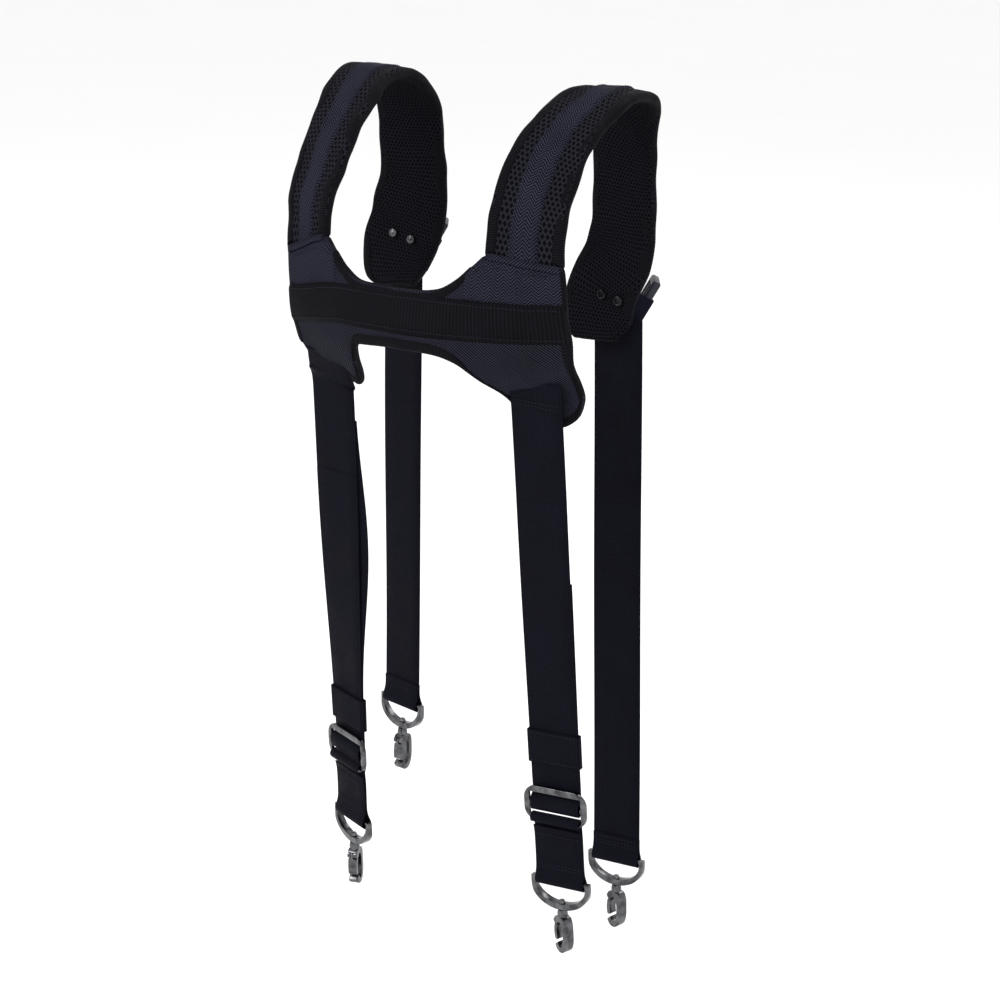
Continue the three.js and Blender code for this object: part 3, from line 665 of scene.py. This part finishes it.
def make_yoke():
    cols, low_rows, band_rows, high_rows = 132, 12, 8, 12
    rows = low_rows + band_rows + high_rows
    band = (low_rows, low_rows + band_rows)

    def level(i, j):
        x = YOKE_HALF * (2 * i / cols - 1)
        if j <= band[0]:
            return x, yoke_low(x) + (BAND_Z[0] - yoke_low(x)) * j / low_rows
        if j <= band[1]:
            return x, BAND_Z[0] + (BAND_Z[1] - BAND_Z[0]) * (j - band[0]) / band_rows
        return x, BAND_Z[1] + (yoke_top(x) - BAND_Z[1]) * (j - band[1]) / high_rows

    def point(i, j, side):
        x, z = level(i, j)
        rim = min(i, cols - i) == 0 or min(j, rows - j) == 0
        thick = 2.0 if rim else 3.4 if side > 0 else 4.2
        p = yoke_point(x, z, side * thick)
        return p + wobble(p, 34, 1.6) * (0.3 + 0.7 * smooth(40, 110, abs(x)))

    def place(i, j):
        x, z = level(i, j)
        return x * MM, z * MM

    slab = Slab(cols, rows, point, place)
    seams = set(slab.rim()) | {(i, j) for i in range(cols + 1) for j in band}
    puff(slab, "yoke_puff", seams, 3.0, 3.5)
    panel = slab.build("yoke_panel", PANEL, "harness", "twill")
    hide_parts("yoke_lining", "yoke_foam", "yoke_cover")
    top = slab.cover("yoke_band_tape", (0, cols), band, 1.3, BAND, "harness", "webbing")
    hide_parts("yoke_band")
    near = round(cols * (0.5 + 66 / 2 / YOKE_HALF))
    for side, span in (("right", (near, cols - 1)), ("left", (1, cols - near))):
        upper = (band[1], rows - 1)
        patch = slab.cover(f"yoke_patch_cloth_{side}", span, upper, 1.0, TWILL, "harness", "twill")
        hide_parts(f"yoke_patch_{side}")
    around = [(cols, j) for j in range(rows, 0, -1)] + [(i, 0) for i in range(cols, 0, -1)]
    around += [(0, j) for j in range(rows + 1)]
    slab.bind("yoke_binding_low", around, 10, 3.4, "harness")
    neck = (cols - near - 2, near + 2)
    slab.bind("yoke_binding_neck", [(i, rows) for i in range(neck[0], neck[1] + 1)], 9, 3.4, "harness")
    runs = []
    for j in (band[0] + 1, band[1] - 1):
        runs.append([slab.raised(i, j, 1.5) for i in range(2, cols - 1)])
    for span in ((near + 1, cols - 3), (3, cols - near - 1)):
        j = rows - 3
        runs.append([slab.raised(i, j, 1.2) for i in range(*span)])
    stitches("yoke_stitches", runs, "harness")
    return slab


# ---------------------------------------------------------------- shoulder pads


JOIN_ROWS = 16  # rows of a pad that ease into its seam with the back panel
END_ROWS = 10  # rows that draw in towards its chest end


def make_pad(side, yoke):
    stations = PADS[side]
    cols, rows = 26, 170
    low, high = (82, YOKE_HALF) if side == "right" else (-YOKE_HALF, -82)

    def joined(i, face):
        """Where this column meets the back panel's top edge."""
        k = (low + (high - low) * i / cols + YOKE_HALF) / (2 * YOKE_HALF) * yoke.cols
        a = min(int(k), yoke.cols - 1)
        grid = yoke.front if face > 0 else yoke.back
        return grid[a, yoke.rows].lerp(grid[a + 1, yoke.rows], k - a)

    lengths = [0.0]
    for j in range(rows):
        a, b = (pad_point(stations, (j + k) / rows, 0, 0) for k in (0, 1))
        lengths.append(lengths[-1] + (b - a).length)
    steps = [i / (len(stations) - 1) for i in range(len(stations))]
    widths = [spline(steps, [s[4] for s in stations], j / rows) for j in range(rows + 1)]

    def point(i, j, face):
        rim = i in (0, cols) or j == rows
        thick = 3.0 if rim else 4.6 if face > 0 else 5.0
        narrow = 1 - 0.32 * smooth(rows - END_ROWS, rows + END_ROWS / 2, j) ** 1.5
        p = pad_point(stations, j / rows, (i / cols - 0.5) * narrow, face * thick)
        if j < JOIN_ROWS:
            pull = (1 - j / JOIN_ROWS) ** 2
            p += (joined(i, face) - pad_point(stations, 0, i / cols - 0.5, face * 3.0)) * pull
        return p + wobble(p, 24, 1.7) * min(1, j / JOIN_ROWS)

    slab = Slab(cols, rows, point, lambda i, j: ((i / cols - 0.5) * widths[j] * MM, lengths[j] * MM))
    strip = (round(cols * (0.5 - STRIP_HALF / 68)), round(cols * (0.5 + STRIP_HALF / 68)))
    end = round(rows * STRIP_END)
    seams = set(slab.rim()) | {(i, j) for i in strip for j in range(end)}
    seams |= {(i, end) for i in range(strip[0], strip[1] + 1)}
    puff(slab, f"pad_puff_{side}", seams, 4.0, 4.0)
    pad = slab.build(f"pad_{side}", AIR_MESH, "harness", "mesh_fabric")
    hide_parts(f"pad_lining_{side}", f"pad_foam_{side}", f"pad_cover_{side}")
    pad.data.materials.append(LINING)
    inner = (cols + 1) * (rows + 1)
    for f in pad.data.polygons:
        if min(f.vertices) >= inner:
            f.material_index = 1
    top = slab.cover(f"pad_strip_cloth_{side}", strip, (0, end), 1.5, TWILL, "harness", "twill")
    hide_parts(f"pad_strip_{side}")
    path = [(0, j) for j in range(rows)] + [(i, rows) for i in range(cols)]
    path += [(cols, j) for j in range(rows, -1, -1)]
    slab.bind(f"pad_binding_{side}", path, 9.5, 4.3, "harness")
    runs = []
    for i in (strip[0] + 1, strip[1] - 1):
        runs.append([slab.raised(i, j, 1.7) for j in range(1, end, 2)])
    stitches(f"pad_stitches_{side}", runs, "harness")
    make_seam(side, slab)
    return slab


def make_seam(side, slab):
    """The turned edge of the patch, sewn across the foot of a pad."""
    path = []
    for i in range(1, slab.cols):
        down = (slab.front[i, 0] - slab.front[i, 1]).normalized()
        out = (slab.front[i, 1] - slab.back[i, 1]).normalized()
        rise = 1.0 if 1 < i < slab.cols - 1 else 0.2
        path.append((slab.front[i, 0] + out * rise + down * 1.0, down, out))
    ribbon(f"pad_seam_{side}", path, 6, 1.5, "harness", TWILL)
    run = [(c - a * 2.0 + n * 1.2, n) for c, a, n in path]
    stitches(f"pad_seam_stitches_{side}", [run], "harness", 2.4, 0.55)


# Rivet profiles as (radius, height).
EYELET_RIM = [(2.6, -1), (2.6, 0.4), (3.0, 1.0), (3.7, 1.1), (4.3, 0.6), (4.5, -0.8)]
EYELET = [(2.9, -1), (2.9, 0.1), (1.6, -0.3), (0, -0.4)]
DOME = [
    (4.1, -1.0), (4.2, 0), (3.9, 0.8), (3.2, 1.3),
    (2.2, 1.0), (1.6, 1.6), (0.9, 2.0), (0, 2.1),
]


def make_rivets(side):
    for which in ("inner", "outer"):
        node = f"pad_rivet_{which}_{side}"
        low, high = (Vector(v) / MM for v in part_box(node))
        centre = (low + high) / 2
        face = Vector((0, -1, 0.06)).normalized()
        seat = centre + face * ((high - low).y / 2 - 0.8)
        if side == "right":
            ring = lathe(
                f"rivet_rim_{which}_{side}", EYELET_RIM, seat, face, BLACKED, "harness"
            )
            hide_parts(node)
            lathe(f"rivet_eye_{which}_{side}", EYELET, seat, face, BLACKED, "harness")
        else:
            cap = lathe(f"rivet_dome_{which}_{side}", DOME, seat, face, GUNMETAL, "harness")
            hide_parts(node)


# ---------------------------------------------------------------- webbing


def twisted(key, low, high):
    """Places a strap's local point, turned about its length as its top end is."""
    space, _ = strap_space(key)
    yaw = STRAPS[key][2]

    def place(x, y, z):
        a = math.radians(yaw[0] - yaw[1]) * smooth(low, high, z)
        return space @ Vector((x * math.cos(a) - y * math.sin(a), x * math.sin(a) + y * math.cos(a), z))

    return place


def strap_path(place, line, drift=0.0, sway=0.0):
    """Ribbon stations along a strap's (y, z) line."""
    path = []
    for n, (y, z) in enumerate(line):
        before, after = line[max(0, n - 1)], line[min(len(line) - 1, n + 1)]
        ahead = place(0, *after) - place(0, *before)
        across = (place(1, y, z) - place(-1, y, z)).normalized()
        ahead.normalize()
        sag = sway * math.sin(z / 61)
        centre = place(drift, y, z) + across.cross(ahead) * sag
        path.append((centre, across, across.cross(ahead).normalized()))
    return path


def fine(points, steps=6):
    """A denser line through (y, z) points."""
    count = (len(points) - 1) * steps
    flat = [(0, y, z) for y, z in points]
    return [tuple(through(flat, k / count))[1:] for k in range(count + 1)]


def on_wing(x, z, lift):
    """The point of the wing's surface that comes out at this x."""
    guess = x
    for _ in range(6):
        guess += x - yoke_point(guess, z, lift).x
    return yoke_point(guess, z, lift)


def make_back_strap(side):
    key = f"back_{side}"
    space, top = strap_space(key)
    slide, keep = SLIDER_AT[side], KEEPER_AT[side]
    place = twisted(key, keep - 30, top - 60)
    split = top - 70
    # sewn end: out from under the wing's cloth, then free
    lead = []
    for below, lift in ((-6, 1.5), (1, 5.5), (9, 8.6), (20, 8.6)):
        z = SEAM_Z[side] - below
        line = place(0, 0, top + z - STRAPS[key][0][2])
        lean = line.y - on_wing(line.x, z, lift).y
        lead.append(on_wing(line.x + 0.6 * lean, z, lift))
    lead += [place(0, 0, z) for z in (top - 16, top - 34, top - 52, split)]
    across = (place(1, 0, top) - place(-1, 0, top)).normalized()
    path = []
    for n in range(49):
        c = through(lead, n / 48)
        ahead = (through(lead, min(1, n / 48 + 0.01)) - through(lead, max(0, n / 48 - 0.01))).normalized()
        side_way = (across - ahead * across.dot(ahead)).normalized()
        path.append((c, side_way, side_way.cross(ahead).normalized()))
    head = ribbon(f"back_strap_head_{side}", path, WEB_WIDTH, WEB_THICK, None)
    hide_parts(f"strap_anchor_{side}")
    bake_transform(head)
    flip = -1 if path[12][2].dot(Y) > 0 else 1
    rows = []
    for n in (14, 17):
        c, a, out = path[n][0], path[n][1], path[n][2] * flip
        rows.append([(c + a * w + out * (WEB_THICK / 2 + 0.2), out) for w in (-22, 22)])
    stitches(f"anchor_stitches_{side}", rows, "harness")
    # load webbing, round the slider's bar, and the tail behind it
    turn = [(0, 12), (-1.2, 9.4), (-4.6, 6.6), (-6.2, 3.4), (-6.4, 0), (-5.8, -3.6)]
    turn += [(-3.4, -6.4), (-0.4, -5.2), (1.1, -2), (1.8, 2.5), (1.9, 12)]
    load = [(0, z) for z in np.arange(split, slide + 30, -14)]
    body_line = load + fine([(y, z + slide) for y, z in [(0, 26), *turn, (1.9, 26)]], 5)
    main = strap_path(place, body_line, 0, 0.5)
    tail = []
    splay = TAIL_SPLAY[side]
    for z in np.arange(slide + 34, TAIL_TOP[side] + 1, 14):
        bow = math.sin(math.pi * smooth(slide + 60, TAIL_TOP[side], z)) * splay
        tail += strap_path(place, [(1.9, z - 1), (1.9, z), (1.9, z + 1)], bow, 0.5)[1:2]
    tail = [(c, a, -n if n.dot(main[-1][2]) < 0 else n) for c, a, n in tail]
    whole = ribbon(f"back_strap_web_{side}", main + tail, WEB_WIDTH, WEB_THICK, None, start=length_of(path))
    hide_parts(f"back_strap_{side}")
    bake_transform(whole)
    make_keeper(side, place, keep)
    make_drop_strap(side, space, slide)
    refined(f"strap_slider_{side}", GUNMETAL, f"slider_{side}", 1.3)


def make_keeper(side, place, keep):
    half_x, half_y, r = WEB_WIDTH / 2 + 1.2, 2.9, 1.6
    loop = []
    for start, sx, sy in ((0, 1, 1), (90, -1, 1), (180, -1, -1), (270, 1, -1)):
        cx, cy = sx * (half_x - r), sy * (half_y - r)
        for k in range(5):
            a = math.radians(start + 22.5 * k)
            loop.append((cx + r * math.cos(a), 0.95 + cy + r * math.sin(a), math.cos(a), math.sin(a)))
    path = []
    for x, y, nx, ny in loop:
        c = place(x, y, keep)
        up = (place(x, y, keep + 1) - place(x, y, keep - 1)).normalized()
        normal = (place(x + nx, y + ny, keep) - c).normalized()
        path.append((c, up, normal))
    band = ribbon(f"keeper_{side}_loop", path, KEEPER_TALL, 1.3, f"keeper_{side}", closed=True)
    for uv in band.data.uv_layers[0].data:
        uv.uv = (uv.uv[1], uv.uv[0])
    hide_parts(f"strap_keeper_{side}")
    runs = []
    for dz in (2.5 - KEEPER_TALL / 2, KEEPER_TALL / 2 - 2.5):
        ends = [place(x, 0.95 - half_y - 0.75, keep + dz) for x in (-WEB_WIDTH / 2 + 1, WEB_WIDTH / 2 - 1)]
        normal = (place(0, -1, keep) - place(0, 1, keep)).normalized()
        runs.append([(ends[0], normal), (ends[1], normal)])
    stitches(f"keeper_stitches_{side}", runs, f"keeper_{side}")


def loop_ribbon(name, space, top, body, node, rim=None):
    """Webbing folded round the D-ring's bar, sewn flat above it, and round a rim where given."""
    r = 4.6
    low = [(r * math.cos(math.radians(a)), r * math.sin(math.radians(a))) for a in range(150, 391, 20)]
    line = [(-0.8, top), (-0.8, 14), (-1.6, 9)] + low + [(1.6, 9), (0.8, 14), (0.8, top)]
    if rim:
        angles = [math.radians(a) for a in range(-40, 221, 26)]
        high = [(-3 + 4.4 * math.cos(a), rim + 4.4 * math.sin(a)) for a in angles]
        line = [(-2.0, rim - 9), (-0.8, rim - 16), (-0.8, 14), (-1.6, 9)] + low
        line += [(1.6, 9), (0.8, 14), (0.8, rim - 16)] + high
    dense = fine(line, 4)
    place = lambda x, y, z: space @ Vector((x, y, z))
    web = ribbon(name, strap_path(place, dense), WEB_WIDTH, WEB_THICK, body)
    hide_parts(node)
    out = (space.to_3x3() @ Vector((0, -1, 0))).normalized()
    rows = (13, (rim - 17) if rim else top - 3)
    heights = (rows[0], rows[0] + 3, rows[1])
    runs = [[(space @ Vector((x, -1.75, z)), out) for x in (-22.5, 22.5)] for z in heights]
    stitches(f"{name}_stitches", runs, body)
    return web


def make_drop_strap(side, space, slide):
    rim = slide - SLIDER_HALF_TALL + SLIDER_RIM
    loop_ribbon(f"drop_web_{side}", space, 0, f"slider_{side}", f"drop_strap_{side}", rim=rim)


def make_chest_strap(side):
    key = f"chest_{side}"
    space, top = strap_space(key)
    place = twisted(key, 60, top - 60)
    split = top - 70
    head_top = top + CHEST_HEAD
    upper = [(0, z) for z in np.linspace(head_top, split, 10)]
    head = ribbon(f"chest_strap_head_{side}", strap_path(place, upper, 0, 0.5), WEB_WIDTH, WEB_THICK, None)
    place(0, 0, top) * MM
    place(0, 0, split) * MM
    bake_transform(head)
    lower = [(0, z) for z in np.linspace(split, 22.4, 30)]
    path = strap_path(place, lower, 0, 0.5)
    web = ribbon(f"chest_strap_web_{side}", path, WEB_WIDTH, WEB_THICK, None, start=head_top - split)
    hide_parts(f"chest_strap_{side}")
    place(0, 0, split) * MM
    place(0, 0, 24) * MM
    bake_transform(web)
    loop_ribbon(f"chest_loop_{side}", space, 23, f"loop_{side}", f"strap_loop_{side}")


def make_hardware(key):
    refined(f"dring_{key}", GUNMETAL, f"ring_{key}", 1.7)
    refined(f"hook_body_{key}", GUNMETAL, f"hook_{key}", 1.3)
    refined(f"swivel_post_{key}", STEEL, f"hook_{key}", 0.3)
    refined(f"hook_gate_{key}", GUNMETAL, f"gate_{key}", 0.6)
    for node in (f"gate_pin_{key}", f"gate_spring_{key}"):
        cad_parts[node].data.materials.clear()
        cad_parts[node].data.materials.append(STEEL)


def make_buckle(side):
    refined(f"buckle_{side}", PLASTIC, f"buckle_{side}", 2.2)
    tab = refined(f"buckle_tab_{side}", WEBBING, f"buckle_{side}", 0.5)
    roll, yaw = BUCKLE_TURN
    across = Vector((math.cos(yaw) * math.cos(roll), math.sin(yaw) * math.cos(roll), -math.sin(roll)))
    middle = sum((v.co for v in tab.data.vertices), Vector()) / len(tab.data.vertices)
    for v in tab.data.vertices:
        v.co -= across * (v.co - middle).dot(across) * 0.35


# ---------------------------------------------------------------- camera, lights, floor

AIM = Vector((18.9, 5.4, -396.2)) * MM
AZIMUTH, ELEVATION, DISTANCE = math.radians(31.5), math.radians(18.0), 2.4


def make_stage():
    data = bpy.data.cameras.new("camera")
    data.lens, data.sensor_width = 93.6, 36
    cam = bpy.data.objects.new("camera", data)
    bpy.context.collection.objects.link(cam)
    flat = math.cos(ELEVATION)
    back = Vector((math.sin(AZIMUTH) * flat, -math.cos(AZIMUTH) * flat, math.sin(ELEVATION)))
    cam.location = AIM + back * DISTANCE
    cam.rotation_mode = "QUATERNION"
    cam.rotation_quaternion = (-back).to_track_quat("-Z", "Y")
    bpy.context.scene.camera = cam
    world = bpy.data.worlds.new("studio")
    world.use_nodes = True
    world.node_tree.nodes["Background"].inputs[0].default_value = (1, 1, 1, 1)
    world.node_tree.nodes["Background"].inputs[1].default_value = 1.0
    bpy.context.scene.world = world
    bpy.context.scene.view_settings.view_transform = "Standard"
    for name, place, size, power in (
        ("key", (-1.1, -2.0, 1.5), 1.2, 42),
        ("fill", (2.2, -1.6, 0.4), 1.6, 16),
        ("rim", (0.4, 1.9, 1.4), 1.2, 22),
    ):
        light = bpy.data.lights.new(name, "AREA")
        light.size, light.energy = size, power
        lamp = bpy.data.objects.new(name, light)
        lamp.location = Vector(place)
        lamp.rotation_mode = "QUATERNION"
        lamp.rotation_quaternion = (AIM - lamp.location).to_track_quat("-Z", "Y")
        bpy.context.collection.objects.link(lamp)
    g = Graph("floor")
    pale = g.colour(g.noise(3.0), (0.93, 0.93, 0.93), (0.95, 0.95, 0.95))
    g.finish(pale, g.noise(200.0), 0.0001, (0.8, 0.9))
    bpy.ops.mesh.primitive_plane_add(size=60, location=(0, 0, CAD_BOX[0].z - 0.03))
    floor = bpy.context.object
    floor.name = "floor"
    floor.data.materials.append(g.material)


# ---------------------------------------------------------------- assembly

make_stage()
yoke = make_yoke()
for side in SIDES:
    make_pad(side, yoke)
    make_rivets(side)
    make_back_strap(side)
    make_chest_strap(side)
    make_buckle(side)
    for key in (f"back_{side}", f"chest_{side}"):
        make_hardware(key)
